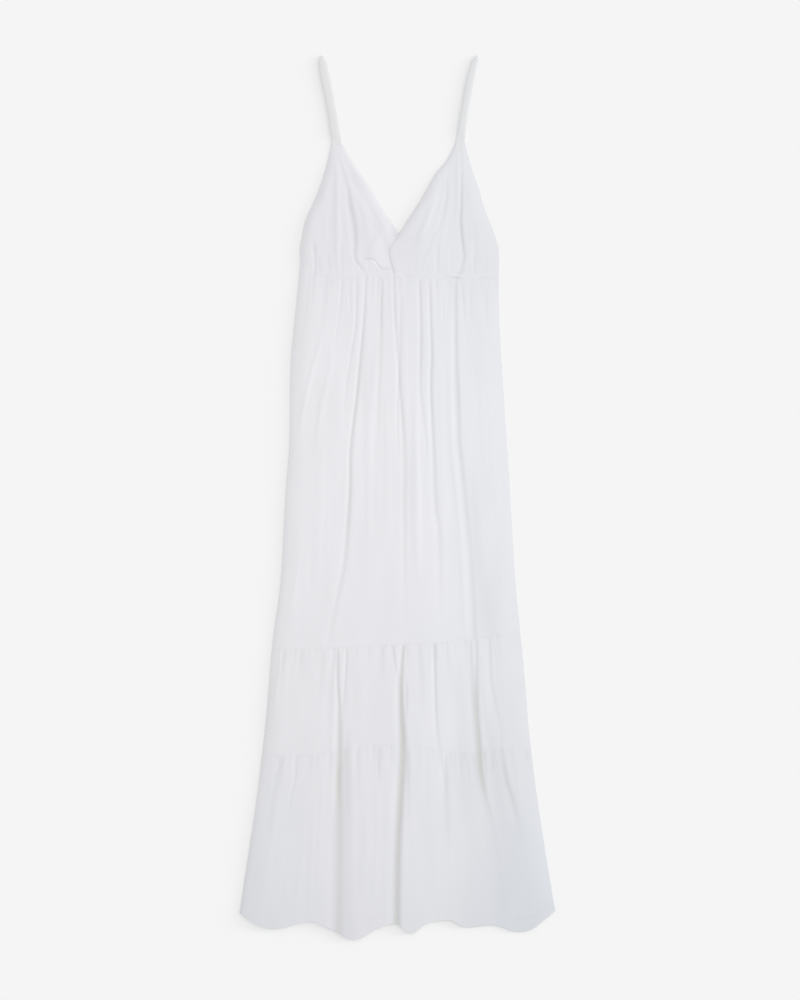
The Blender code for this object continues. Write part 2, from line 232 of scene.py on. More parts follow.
# The distance from one thread of the weave to the next, how strong the weave is beside the crinkle, and how
# strong and high both are
THREAD_PITCH = 0.6
WEAVE_SHARE = 0.05
BUMP_STRENGTH = 0.16
BUMP_HEIGHT = 0.5

# Features to the metre along X, Y and Z, and the shades that the mottle and the twist of the thread give
CRINKLE = (240, 20, 240)
MOTTLE = (22, 7, 22)
TWIST = (2500, 2500, 2500)
MOTTLE_SHADE = [(0.3, (0.985, 0.985, 0.985)), (0.7, (1.015, 1.01, 1.012))]
THREAD_SHADE = [(0.35, (0.78, 0.78, 0.80)), (0.65, (0.85, 0.85, 0.87))]

# The floor's colour, the dome's brightness, and the lights. Columns: name, strength, and in degrees the
# width across the light, its elevation and its azimuth.
FLOOR_COLOUR = (0.93, 0.93, 0.93, 1)
DOME = 0.878
LIGHTS = [
    ("broad_light", 0.5, 45, 22, 12),
    ("low_light", 0.85, 12, 9.5, 10),
]

# The height of the picture, the distance of the camera and its place along Y, in metres
PICTURE_HEIGHT = 1.64
CAMERA_DISTANCE = 4.0
CAMERA_Y = -0.004

# The creases seen in the photograph: a lean, a power and rows of (down, across, half width, share). The
# lean is how much wider the trough is on its left side, where the light falls. A power above 2 makes its
# floor flat. The share, from 0 to 1, is how strong the crease is, and below 0 it makes a ridge. A crease's
# share also sets the painted shade in it.
SKIRT_CREASES = [
    (1.3, 2, [(352, -56, 2.4, 0.12), (368, -56, 2.4, 0.32), (442, -60, 2.4, 0.42),
     (553, -70.5, 2.6, 0.56), (647, -81, 2.8, 0.46), (713, -82, 2.9, 0.48), (772, -86, 3.3, 0.42),
     (834, -92, 3.8, 0.34), (903, -106, 4.2, 0.24), (956, -116, 4.6, 0.16), (980, -119, 5, 0)]),
    (1.3, 2, [(362, -69, 2, 0), (374, -70, 2, 0.2), (445, -73, 2, 0.3), (483, -79, 2, 0.22),
     (560, -90, 2.4, 0.12), (600, -94, 2.4, 0)]),
    (1.3, 2, [(362, -29, 2, 0), (372, -29.5, 2.1, 0.3), (420, -31, 2.2, 0.42), (475, -32, 3.2, 0.24),
     (565, -36, 3.8, 0.24), (640, -38, 5, 0.1), (760, -40, 7, 0)]),
    (1.3, 2, [(352, -11, 2, 0.15), (370, -10, 2.2, 0.34), (417, -9, 2.2, 0.32), (475, -5.5, 2.2, 0.26),
     (529, -2, 2.2, 0.28), (570, -4, 2, 0.24), (626, -4, 2, 0.14), (660, -4, 2, 0)]),
    (1.4, 2, [(385, 1.6, 1.8, 0), (400, 1.6, 1.8, 0.15), (462, 0, 2.2, 0.2), (529, -0.5, 2.4, 0.34),
     (585, 3, 2.6, 0.42), (647, 6.5, 3.4, 0.32), (768, 6.5, 3.4, 0.28), (860, 7, 3.5, 0.14),
     (926, 9, 5, 0.05), (960, 9, 5, 0)]),
    (1.5, 2, [(364, 32, 2, 0), (372, 32.3, 2.2, 0.32), (434, 34, 2.3, 0.4), (480, 34, 2.4, 0.42),
     (544, 33, 2.4, 0.2), (585, 37, 2.6, 0.15), (626, 42, 2.8, 0.15), (700, 47, 3, 0)]),
    (1.4, 2, [(364, 49, 2, 0), (372, 49, 2.2, 0.34), (434, 50, 2.4, 0.42), (488, 52, 2.6, 0.48),
     (544, 50.5, 2.6, 0.5), (598, 52.5, 2.9, 0.48), (647, 54.5, 3.5, 0.42), (745, 58.5, 4.6, 0.36),
     (778, 63.5, 4, 0.28), (903, 65.5, 4.4, 0.1), (940, 66, 4.4, 0)]),
    # Broad shallow hollows beside the deep crease on the right, darkened mostly by painted shade
    (1, 2, [(640, 112, 8, 0), (729, 120, 11, 0.32), (811, 124, 12, 0.36), (877, 130, 15, 0.26),
     (930, 136, 17, 0.18), (975, 140, 18, 0.12)]),
    (1, 2, [(800, 138, 12, 0), (900, 150, 18, 0.18), (950, 154, 20, 0.2), (990, 156, 20, 0.16)]),
    # More creases on the right, and short ones under the band
    (1.3, 2, [(385, 70, 1.8, 0), (400, 70, 2, 0.12), (434, 71, 2, 0.1), (460, 71, 2, 0)]),
    (1.9, 2, [(352, 98, 2.4, 0.25), (376, 92.3, 2.4, 0.42), (434, 91.5, 2.4, 0.42), (500, 92, 3.2, 0.5),
     (544, 94, 3.9, 0.58), (598, 95.5, 3.8, 0.5), (634, 96.5, 3.8, 0.5), (680, 101.5, 4, 0.46),
     (745, 108, 4, 0.42), (801, 113, 4.2, 0.32), (860, 118, 4.2, 0.34), (926, 121.5, 4, 0.42),
     (958, 123, 3.6, 0.4), (970, 124, 3, 0)]),
    (1.3, 2, [(367, 100, 1.8, 0), (376, 101, 2.2, 0.28), (406, 104, 2.2, 0.26), (445, 105, 2.2, 0)]),
    (1.3, 2, [(375, 114, 1.8, 0), (389, 115, 2.2, 0.22), (420, 116, 2.2, 0.2), (455, 118, 2.2, 0)]),
    (1.3, 2, [(375, 139, 2, 0), (390, 140, 2.6, 0.26), (420, 142, 2.6, 0.24), (462, 143, 2.4, 0)]),
    (1.3, 2, [(352, -141, 2, 0.1), (360, -141, 2, 0.28), (385, -143.5, 2, 0.24), (425, -147, 2, 0)]),
    (1.3, 2, [(362, -95, 1.8, 0), (373, -95, 2, 0.16), (406, -97, 2, 0.15), (455, -104, 2.2, 0.1),
     (500, -109, 2.2, 0)]),
    (1.3, 2, [(361, -82, 1.8, 0), (370, -82, 1.9, 0.22), (410, -82, 1.9, 0.18), (432, -82, 1.9, 0)]),
    (1.3, 2, [(362, -115, 1.8, 0), (370, -115, 1.9, 0.14), (392, -115, 1.9, 0)]),
    # Soft ridges
    (1, 2, [(450, -130, 4, 0), (483, -134, 4, -0.08), (549, -152, 4, -0.1), (680, -176, 4, 0)]),
    (1, 2, [(470, -112, 5, 0), (516, -115, 5, -0.07), (603, -133, 5, -0.08), (700, -142, 6, 0)]),
    (0.8, 2, [(380, 84, 5, 0), (480, 83, 6, -0.06), (620, 85, 7, -0.14), (745, 97, 8, -0.2),
     (893, 106, 8, -0.16), (960, 108, 8, 0)]),
    (1, 2, [(540, 26, 5, 0), (600, 26, 5, -0.1), (760, 29, 6, -0.12), (880, 30, 6, 0)]),
    (1, 2, [(480, -42, 5, 0), (530, -43, 5, -0.08), (640, -46, 6, 0)]),
]
TIER_CREASES = [
    (1.3, 2, [(970, -102, 2, 0), (980, -102, 2.2, 0.42), (1027, -102, 2.5, 0.48), (1065, -100, 3.2, 0.52),
     (1106, -99.5, 4.6, 0.64), (1147, -99.5, 5, 0.76), (1188, -100.5, 6, 0.9), (1221, -100.5, 6.4, 0.76),
     (1262, -101, 8, 0.62), (1352, -101, 9, 0.62), (1393, -102, 9, 0.62), (1450, -102, 9, 0.64)]),
    (1.3, 2, [(970, -87.5, 1.8, 0), (980, -87.5, 2.1, 0.3), (1027, -90, 2.4, 0.28),
     (1065, -93.5, 2.6, 0.15), (1085, -95, 2.6, 0)]),
    (1.3, 2, [(1095, -88, 4, 0), (1147, -88, 6, 0.42), (1221, -88, 7, 0.42), (1262, -87, 8, 0.3),
     (1400, -86, 9, 0.25), (1450, -86, 9, 0.25)]),
    (1.3, 2, [(963, -12, 1.8, 0), (972, -11.5, 2, 0.25), (1000, -8, 2.1, 0.2), (1040, -1, 2.2, 0)]),
    (1.9, 2.3, [(960, 6, 2.2, 0), (972, 5, 2.4, 0.54), (1003, 3, 2.8, 0.6), (1036, 1.8, 3.6, 0.78),
     (1082, 3, 4.2, 0.84), (1123, 5.4, 4.8, 0.86), (1155, 4.6, 5, 0.86), (1205, 2, 5.2, 0.84),
     (1265, -1.5, 5.2, 0.8), (1328, -4, 5.2, 0.79), (1450, -5, 5.4, 0.78)]),
    (1.3, 2, [(1020, 10, 1.8, 0), (1034, 10.3, 2, 0.3), (1068, 10.3, 2, 0.25), (1090, 10, 2, 0)]),
    (1.3, 2, [(1135, 12.3, 3, 0), (1150, 12.3, 3, 0.26), (1221, 12, 3, 0.2), (1260, 11, 3, 0)]),
    (1.3, 2, [(958, 56, 2, 0), (968, 56, 2.4, 0.38), (1036, 57.5, 2.8, 0.42), (1090, 59, 3, 0.34),
     (1131, 63, 3, 0.2), (1175, 70, 3, 0.14), (1200, 73, 3, 0)]),
    (1.3, 2, [(1142, 74, 2, 0), (1152, 74, 2.4, 0.28), (1190, 74.6, 4.4, 0.38), (1221, 74.6, 5.4, 0.32),
     (1262, 76.5, 7, 0.26), (1320, 80, 9, 0)]),
    (1.3, 2, [(952, 115.5, 2, 0), (962, 115.5, 2.4, 0.46), (1000, 117, 3.4, 0.42), (1041, 119, 4, 0.34),
     (1080, 121, 4, 0.24), (1120, 123, 4, 0)]),
    (2.4, 2, [(950, 126.3, 2, 0), (960, 126.3, 2, 0.44), (1019, 126, 2.6, 0.6), (1057, 125.7, 3.4, 0.72),
     (1093, 127.5, 3.8, 0.8), (1131, 130.4, 4, 0.86), (1164, 132.5, 4, 0.9), (1196, 136.5, 3.6, 0.76),
     (1229, 143, 3.8, 0.4), (1262, 151.7, 5, 0.24), (1347, 163, 8, 0.14), (1440, 168, 10, 0.02)]),
    (1.3, 2, [(1128, 137.5, 1.8, 0), (1140, 138.5, 2, 0.28), (1172, 140.5, 2.1, 0.24),
     (1215, 143, 2.2, 0)]),
    (1.3, 2, [(948, 147, 2, 0), (958, 147, 2.2, 0.4), (1011, 148.4, 3, 0.38), (1040, 152, 3.2, 0.34),
     (1082, 160.7, 3.2, 0.28), (1106, 165, 3.2, 0.18), (1134, 166, 3.2, 0.24), (1167, 171.4, 3.8, 0.52),
     (1191, 175.5, 4.4, 0.58), (1216, 183, 4.8, 0.52), (1246, 190, 5.4, 0.36), (1310, 200, 7, 0)]),
    (1.3, 2, [(1141, -170, 2, 0), (1150, -170.6, 2, 0.18), (1183, -172, 2.2, 0.16), (1221, -180, 3, 0.1),
     (1245, -184, 3.5, 0)]),
    (1.3, 2, [(1130, -36, 1.8, 0), (1150, -36, 2, 0.16), (1172, -36, 2, 0.14), (1200, -36, 2, 0)]),
    (1.3, 2, [(1138, 105, 1.8, 0), (1148, 105.8, 2, 0.22), (1172, 110.7, 2.1, 0.16),
     (1221, 116, 2.4, 0)]),
    (1.3, 2, [(1134, 87, 1.8, 0), (1144, 88, 2, 0.14), (1175, 89.4, 2, 0.1), (1195, 90, 2, 0)]),
    (1.3, 2, [(1132, 151.7, 1.8, 0), (1142, 151.7, 2, 0.16), (1166, 151, 2, 0.12), (1185, 151, 2, 0)]),
    # Broad shallow hollows beside the deep creases, darkened mostly by painted shade
    (1, 2, [(1060, 140, 9, 0), (1110, 146, 11, 0.3), (1190, 157, 14, 0.36), (1260, 168, 17, 0.32),
     (1330, 178, 20, 0.2), (1450, 184, 24, 0.04)]),
    (1, 2, [(985, 92, 10, 0), (1050, 96, 13, 0.26), (1200, 104, 16, 0.28), (1300, 112, 20, 0.18),
     (1450, 120, 24, 0.14)]),
    # Soft ridges
    (1, 2, [(970, -196, 3, 0), (990, -196, 3, -0.12), (1052, -204, 4, -0.1), (1090, -208, 4, 0)]),
    (1, 2, [(955, 136, 4, 0), (1000, 137, 4.5, -0.1), (1070, 142, 5, -0.1), (1110, 146, 5, 0)]),
    (1, 2, [(1000, -112, 5, 0), (1080, -110, 6, -0.06), (1200, -110, 6, -0.06), (1300, -112, 7, 0)]),
]
CUP_LEFT_CREASES = [
    (1.5, 2, [(165, -100, 2.4, 0), (180, -97, 3, 0.18), (217, -86, 3.4, 0.34), (245, -82, 3.8, 0.5),
     (278, -75.4, 4, 0.56), (300, -73.5, 3.8, 0.52), (314, -73, 3.2, 0.46), (323, -74.5, 2.8, 0.42),
     (333, -73.5, 2.4, 0.44), (345, -66.5, 2.2, 0.42), (350, -62, 2.2, 0.3), (358, -58, 2.2, 0.12)]),
    (1.3, 2, [(305, -141, 3, 0), (314, -141, 3.2, 0.34), (327, -139.4, 2.8, 0.32), (343, -139, 2.2, 0.26),
     (358, -139, 2.2, 0.15)]),
    (1.3, 2, [(330, -133, 1.8, 0), (340, -133, 2, 0.2), (358, -133, 2, 0.12)]),
    (1.3, 2, [(300, -97, 2.2, 0), (315, -96.8, 2.4, 0.18), (343, -95.6, 2.4, 0.2),
     (358, -95, 2.4, 0.15)]),
    (1.3, 2, [(318, -118, 2.2, 0), (332, -118, 2.4, 0.15), (358, -118, 2.4, 0.12)]),
    (1.2, 2, [(311, -16.5, 1.8, 0), (316, -16.5, 1.8, 0.35), (321, -17.6, 1.8, 0),
     (330, -16.8, 1.8, 0.45), (344, -13.8, 1.8, 0.55), (353, -11.5, 1.8, 0.45), (360, -10.5, 1.8, 0.2)]),
    # Soft ridges, and broad hollows darkened mostly by painted shade
    (1, 2, [(165, -105, 4, 0), (190, -103, 5, -0.14), (265, -102, 5.5, -0.14), (340, -102, 5, -0.1),
     (352, -102, 5, 0)]),
    (1, 2, [(160, -94, 5, 0), (185, -82, 8, 0.36), (204, -74, 10, 0.42), (235, -56, 9, 0.3),
     (265, -40, 10, 0.34), (295, -26, 9, 0.36), (320, -19, 6, 0.3), (340, -13, 4, 0)]),
    (1, 2, [(296, -54, 10, 0), (316, -54, 11, 0.24), (330, -53, 11, 0.26), (340, -53, 9, 0)]),
    (1, 2, [(200, -66, 6, 0), (250, -58, 7, -0.08), (290, -52, 7, -0.08), (312, -50, 6, 0)]),
]
CUP_RIGHT_CREASES = [
    (1.7, 2, [(140, 104, 1.8, 0), (155, 102.5, 2, 0.15), (199, 101, 2, 0.32), (237, 100.5, 2.2, 0.5),
     (275, 99.7, 2.5, 0.62), (306, 102.5, 2.5, 0.64), (330, 105, 2.4, 0.52), (358, 100, 2.2, 0.35)]),
    (1.5, 2, [(190, 75, 2.4, 0), (207, 76.6, 2.8, 0.16), (229, 76.6, 3, 0.28), (257, 72, 3, 0.2),
     (275, 67, 2.8, 0.15), (298, 54, 3, 0.14), (322, 43.8, 3, 0.16), (340, 37.7, 2.8, 0.12),
     (350, 35, 2.8, 0)]),
    (1.3, 2, [(305, 61.5, 2.2, 0), (316, 61.5, 2.4, 0.22), (347, 61.5, 2.4, 0.22),
     (358, 61.5, 2.4, 0.15)]),
    (1.3, 2, [(295, 122, 2.6, 0), (310, 122.5, 3, 0.18), (358, 123, 2.8, 0.15)]),
    (1.3, 2, [(188, 68, 2.2, 0), (196, 68.4, 2.4, 0.22), (205, 69, 2.2, 0)]),
    (1.3, 2, [(318, 84, 2.2, 0), (330, 84, 2.4, 0.15), (358, 85, 2.4, 0.12)]),
    (1.3, 2, [(322, 142, 2.2, 0), (332, 142, 2.4, 0.14), (358, 143, 2.4, 0.12)]),
    # Soft ridges and hollows
    (1, 2, [(155, 96, 3, 0), (190, 95, 3.4, -0.14), (230, 95, 4, -0.1), (280, 92, 5, 0)]),
    (1, 2, [(215, 62, 5, 0), (250, 52, 6, -0.12), (290, 38, 6, -0.1), (320, 28, 6, 0)]),
    (1, 2, [(300, 120, 6, 0), (325, 114, 5, -0.1), (350, 114, 5, 0)]),
]

# Creases that run across the left cup above the band, with rows of (across, down, half width, share)
CUP_LEFT_CURLS = [
    (1, 2, [(-64, 336, 1.6, 0), (-58, 334.5, 1.8, 0.42), (-47, 334.5, 1.8, 0.5), (-39, 339, 1.8, 0.5),
     (-34, 347.5, 1.8, 0.5), (-24, 349.5, 1.8, 0.42), (-14, 351.5, 1.8, 0)]),
    (1, 2, [(-62, 339, 2.2, 0), (-54, 338.8, 2, -0.18), (-44, 339.5, 2, -0.2), (-38, 345, 2, 0)]),
    (1, 2, [(-36, 342, 2, 0), (-31, 343.5, 2, -0.2), (-20, 345.5, 2, -0.16), (-12, 347, 2, 0)]),
]

# The same across the band
BAND_CURLS = [
    (1, 2, [(64, 362.4, 1.6, 0), (74, 363.2, 1.8, 0.3), (86, 364.2, 1.9, 0.62), (96, 365.4, 1.9, 0.55),
     (104, 366.2, 1.6, 0)]),
    (1, 2, [(0, 360.8, 1.8, 0), (10, 361.2, 2, 0.22), (26, 361.8, 2, 0.12), (42, 362.4, 2, 0.2),
     (54, 363, 1.8, 0)]),
    (1, 2, [(124, 364.4, 1.8, 0), (132, 365.2, 2.2, 0.22), (150, 366.6, 2.2, 0.18),
     (160, 367.2, 2, 0)]),
]

# Gathers that each seam presses into the cloth below it. Columns: the seam, how many gathers, where the
# first and last are across, the shortest and longest, the smallest and largest share, the half width, and
# the seed.
GATHERS = [
    (BAND_BOTTOM, 46, -158, 156, 16, 70, 0.03, 0.16, 2, 31),
    (BAND_BOTTOM, 16, -150, 150, 60, 170, 0.05, 0.16, 3.6, 5),
    (TIER_SEAM_1, 54, -200, 192, 8, 50, 0.03, 0.16, 2, 37),
    (TIER_SEAM_1, 22, -190, 184, 40, 140, 0.08, 0.26, 4.2, 11),
    (TIER_SEAM_2, 58, -216, 208, 8, 50, 0.03, 0.16, 2, 41),
    (TIER_SEAM_2, 22, -205, 200, 40, 150, 0.08, 0.26, 4.2, 23),
]

# How much they spread with the flare of the dress, and how far from even their places are
GATHER_SPREAD = 1.15
GATHER_JITTER = 0.45

# Long shallow waves. Columns: how many, where down they start and end, the shortest and longest, the
# smallest and largest half width, the largest share either way, and the seed.
WAVES = [
    (60, 380, 940, 90, 420, 3, 8, 0.05, 51),
    (26, 980, 1130, 50, 140, 4, 9, 0.04, 57),
    (46, 1150, 1440, 70, 260, 4, 10, 0.04, 61),
]
CUP_WAVES = [(26, 180, 345, 40, 140, 3, 6, 0.05, 71)]

# How far off the flare a wave may run, and the smallest part of its largest share that it may have
WAVE_DRIFT = 0.015
WAVE_LEAST = 0.4

# Gathers above the band, where the cups are drawn in, with the columns of GATHERS but for the seam, and
# between which places across each piece has them
CUP_GATHERS = (34, -156, 154, 8, 34, 0.05, 0.2, 2, 83)
BODICE_SPAN = (-160, 160)
CUP_LEFT_SPAN = (-160, -20)
CUP_RIGHT_SPAN = (0, 160)

# A crease is nowhere narrower than this
LEAST_HALF_WIDTH = 1.0

# Edges of the cloth that bend by more than this, in degrees, are sharp
SHARP_ANGLE = 60

# How many points a strap has along its front, its back and its fold, and across
STRAP_POINTS = (70, 90, 13, 9)


def ease(value):
    """A smooth step from 0 to 1."""
    value = np.clip(value, 0, 1)
    return value * value * (3 - 2 * value)


def along(rows, position):
    """A smooth curve through rows of (position, value), flat beyond both ends."""
    stops, values = np.array(rows, float).T
    position = np.clip(position, stops[0], stops[-1])
    low = np.clip(np.searchsorted(stops, position, side="right") - 1, 0, len(stops) - 2)
    before, after = np.maximum(low - 1, 0), np.minimum(low + 2, len(stops) - 1)
    slope_in = (values[low + 1] - values[before]) / (stops[low + 1] - stops[before])
    slope_out = (values[after] - values[low]) / (stops[after] - stops[low])
    span = stops[low + 1] - stops[low]
    t = (position - stops[low]) / span
    return (
        (2 * t**3 - 3 * t**2 + 1) * values[low]
        + (t**3 - 2 * t**2 + t) * span * slope_in
        + (3 * t**2 - 2 * t**3) * values[low + 1]
        + (t**3 - t**2) * span * slope_out
    )


def line_of(rows, shift=0.0):
    """The curve through the rows as a function, moved by the shift."""
    return lambda position: along(rows, position) + shift


def gathers(table):
    """The gathers below the seams of that table, as creases."""
    creases = []
    for seam, count, first, last, shortest, longest, least, most, half_width, seed in table:
        chance = random.Random(seed)
        pitch = (last - first) / (count - 1)
        for i in range(count):
            across = first + pitch * (i + chance.uniform(-GATHER_JITTER, GATHER_JITTER))
            start = float(along(seam, across))
            length = chance.uniform(0, 1) ** 2 * (longest - shortest) + shortest
            end = start + length
            foot = across * (1 + length / SHOULDER_TO_HEM * GATHER_SPREAD)
            share = chance.uniform(least, most)
            # It starts at the seam, and gets wider and weaker on its way down
            creases.append((1.3, 2, [
                (start - 2, across, half_width, 0),
                (start + 3, across, half_width, share),
                ((start + end) / 2, (across + foot) / 2, half_width * 1.2, share * 0.7),
                (end, foot, half_width * 1.5, 0),
            ]))
    return creases


def cup_gathers(low, high):
    """The short gathers that the band presses into the cups above it, between two places across."""
    count, first, last, shortest, longest, least, most, half_width, seed = CUP_GATHERS
    chance = random.Random(seed)
    creases = []
    for i in range(count):
        pitch = (last - first) / (count - 1)
        across = first + pitch * (i + chance.uniform(-GATHER_JITTER, GATHER_JITTER))
        seam = float(along(BAND_TOP, across))
        length = chance.uniform(shortest, longest)
        share = chance.uniform(least, most)
        if low < across < high:
            # It gets narrower and stronger down to the seam, and runs out on the band
            creases.append((1.0, 2, [
                (seam - length, across, half_width * 1.4, 0),
                (seam - length / 2, across, half_width * 1.2, share * 0.6),
                (seam - 2, across, half_width, share),
                (seam + 5, across, half_width, share * 0.5),
                (seam + 12, across, half_width, 0),
            ]))
    return creases


def waves(table, left, right):
    """Long shallow troughs and ridges that follow the flare of the dress, as creases."""
    creases = []
    for count, top, bottom, shortest, longest, narrowest, widest, most, seed in table:
        chance = random.Random(seed)
        for i in range(count):
            length = chance.uniform(shortest, longest)
            start = chance.uniform(top, max(top + 1, bottom - length))
            place_in = (i + chance.uniform(0.1, 0.9)) / count
            drift = chance.uniform(-WAVE_DRIFT, WAVE_DRIFT)
            half = chance.uniform(narrowest, widest)
            share = chance.choice((-1, 1)) * chance.uniform(WAVE_LEAST, 1.0) * most
            rows = []
            for step, strength in ((0, 0), (0.3, 1), (0.7, 0.9), (1, 0)):
                down = start + step * min(length, bottom - start)
                across = left(down) + (place_in + drift * step) * (right(down) - left(down))
                rows.append((down, float(across), half, share * strength))
            creases.append((1.0, 2, rows))
    return creases


def crease_share(crease, across, down):
    """The share of the height that one crease takes away at each point."""
    lean, power, rows = crease
    rows = np.array(rows, float)
    inside = (down > rows[0, 0]) & (down < rows[-1, 0])
    share = np.zeros(np.broadcast(across, down).shape)
    if not inside.any():
        return share
    a, d = np.broadcast_to(across, share.shape)[inside], np.broadcast_to(down, share.shape)[inside]
    offset = a - along(rows[:, (0, 1)], d)
    half = np.maximum(along(rows[:, (0, 2)], d), LEAST_HALF_WIDTH)
    offset = offset / np.where(offset < 0, half * lean, half)
    share[inside] = along(rows[:, (0, 3)], d) * np.exp(-np.abs(offset) ** power)
    return share


def mirrored(creases):
    """The same creases as they would lie on the back, seen through the front."""
    return [
        (lean, power, [
            (down, BACK_SHIFT - across, half * BACK_WIDER, share) for down, across, half, share in rows
        ])
        for lean, power, rows in creases
    ]


def pressed(creases, across, down):
    """What creases leave of the height, and how strong they are together."""
    kept = np.ones(np.broadcast(across, down).shape)
    clear = kept.copy()
    for crease in creases:
        share = crease_share(crease, across, down)
        kept *= 1 - np.where(share > 0, CREASE_CUT * share, share)
        clear *= 1 - np.clip(share, 0, 1)
    return kept, 1 - clear


def rolled(distance, roll, at_once=0.0):
    """How far the cloth has risen at a distance in from an edge, from 0 to 1. Some of it comes at once."""
    slow, quick = (1 - np.clip(distance / reach, 0, 1) for reach in (roll, EDGE_TURN))
    return 1 - (1 - at_once) * slow ** 2 - at_once * quick ** 2


def relief(across, down, left, right, creases, curls=(), rolls=(ROLL_LEFT, ROLL_RIGHT)):
    """How far the front's upper face stands above its lowest place, and how strong the creases are there,
    which sets their painted shade.

    The curls are creases that run across, so their rows give down for each across.
    """
    middle = (right - left) / 2 + 0.01
    rise_left = rolled(across - left, np.minimum(along(rolls[0], down), middle), EDGE_RISE)
    rise_right = rolled(right - across, np.minimum(along(rolls[1], down), middle))
    to_right = ease((across - RIGHT_START) / (RIGHT_END - RIGHT_START))
    rise_right = rise_right * (1 - (1 - RIGHT_SHARE) * to_right)
    kept, shade = pressed(creases, across, down)
    kept_across, shade_across = pressed(curls, down, across)
    kept = np.clip(kept * kept_across, 0, RIDGE_TOP)
    return along(LOFT, down) * RELIEF * rise_left * rise_right * kept, 1 - (1 - shade) * (1 - shade_across)


def place(across, down, height):
    """Points of the dress in metres in the row's frame."""
    return np.stack([
        (across + CENTRE_FRONT_OFFSET) * MM,
        (SHOULDER_TO_HEM / 2 - down) * MM,
        height * MM + 0 * across,
    ], axis=-1)


def plan(head, foot, left, right, columns, rows, crowding=1.0):
    """The plan of a panel: across, down, left edge and right edge at each point of a grid.

    A crowding above 1 sets the rows closer together at the head.
    """
    t = ((np.arange(rows + 1) / rows) ** crowding)[:, None]
    s = (np.arange(columns + 1) / columns)[None, :]
    ends = []
    for edge in (head, foot):
        level = edge(0.0)
        ends.append(edge(left(level) + s * (right(level) - left(level))))
    down = ends[0] + SEAM_GAP / 2 + t * (ends[1] - ends[0] - SEAM_GAP)
    return left(down) + s * (right(down) - left(down)), down, left(down), right(down)


def add_object(name, data):
    """An object of the scene with that mesh, light or camera."""
    piece = bpy.data.objects.new(name, data)
    bpy.context.scene.collection.objects.link(piece)
    return piece


def smooth_mesh(name, points, faces, material):
    """A smooth mesh of those points and faces."""
    mesh = bpy.data.meshes.new(name)
    mesh.from_pydata(points.tolist(), [], faces)
    mesh.materials.append(material)
    mesh.shade_smooth()
    return mesh


def cloth_object(name, points, faces, material, shade=None):
    """A piece of cloth, with how strong the creases are at each point, which sets their painted shade."""
    mesh = smooth_mesh(name, points, faces.tolist(), material)
    mesh.set_sharp_from_angle(angle=math.radians(SHARP_ANGLE))
    depth = mesh.attributes.new("painted_crease_shade", "FLOAT", "POINT")
    if shade is not None:
        depth.data.foreach_set("value", shade.astype(np.float32))
    return add_object(name, mesh)


def skin_faces(rows, columns):
    """The quads of a closed wall of two grids, the upper one first, facing out."""
    index = np.arange(rows * columns).reshape(rows, columns)
    below = index + rows * columns

    def quads(a, b, c, d):
        return np.stack([a.ravel(), b.ravel(), c.ravel(), d.ravel()], axis=-1)

    upper = quads(index[:-1, :-1], index[1:, :-1], index[1:, 1:], index[:-1, 1:])
    lower = quads(below[:-1, :-1], below[:-1, 1:], below[1:, 1:], below[1:, :-1])
    head = quads(index[0, :-1], index[0, 1:], below[0, 1:], below[0, :-1])
    foot = quads(index[-1, :-1], below[-1, :-1], below[-1, 1:], index[-1, 1:])
    left = quads(index[:-1, 0], below[:-1, 0], below[1:, 0], index[1:, 0])
    right = quads(index[:-1, -1], index[1:, -1], below[1:, -1], below[:-1, -1])
    return np.concatenate([upper, lower, head, foot, left, right])


def shell(name, across, down, top, lowest, material, shade=None, thickness=CLOTH):
    """A thin closed shell of cloth under its upper face, no lower than lowest."""
    points = place(across, down, top)
    run = np.gradient(points, axis=1)
    fall = np.gradient(points, axis=0)
    normal = np.cross(fall, run)
    upright = np.abs(normal[..., 2]) / np.linalg.norm(normal, axis=-1)
    bottom = np.maximum(top - thickness / upright, lowest)
    below = place(across, down, bottom)
    every = np.concatenate([points.reshape(-1, 3), below.reshape(-1, 3)])
    if shade is not None:
        shade = np.concatenate([shade.ravel(), 0 * shade.ravel()])
    return cloth_object(name, every, skin_faces(*across.shape), material, shade)


def wear(piece, node):
    """Puts a piece of cloth in place of its solid."""
    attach(piece, "root")
    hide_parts(node)


def stitches(name, runs, top):
    """Rows of sewn stitches along runs of (across, down) points, on the upper face that top gives."""
    side = STITCH_RISE * STITCH_SIDE
    ring = [(0, STITCH_RISE), (STITCH_WIDTH / 2, side), (0, -STITCH_SINK), (-STITCH_WIDTH / 2, side)]
    tips = [(end * STITCH_LENGTH, 0, -STITCH_SINK) for end in (-0.5, 0.5)]
    body = [(part * STITCH_LENGTH, *point) for part in (-0.25, 0.25) for point in ring]
    shape = np.array([tips[0], *body, tips[1]])
    sides = [(1 + i, 1 + (i + 1) % 4) for i in range(4)]
    faces = [(0, b, a) for a, b in sides]
    faces += [(a, b, b + 4, a + 4) for a, b in sides]
    faces += [(a + 4, b + 4, 9) for a, b in sides]
    points, all_faces = [], []
    for run in runs:
        run = np.array(run, float)
        steps = np.linalg.norm(np.diff(run, axis=0), axis=1)
        length = np.concatenate([[0], np.cumsum(steps)])
        for place_on in np.arange(STITCH_PITCH, length[-1] - STITCH_PITCH, STITCH_PITCH):
            middle, ahead = (
                np.array([np.interp(at, length, run[:, k]) for k in (0, 1)])
                for at in (place_on, place_on + 0.5)
            )
            forward = (ahead - middle) / np.linalg.norm(ahead - middle)
            sideways = np.array([-forward[1], forward[0]])
            plan_points = middle + shape[:, :1] * forward + shape[:, 1:2] * sideways
            first = 10 * len(points)
            points.append(np.column_stack([plan_points, shape[:, 2]]))
            all_faces += [tuple(first + i for i in face) for face in faces]
    across, down, lift = np.concatenate(points).T
    on_cloth = place(across, down, top(across, down) + lift)
    piece = add_object(name, smooth_mesh(name, on_cloth, all_faces, THREAD))
    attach(piece, "root")
    return piece


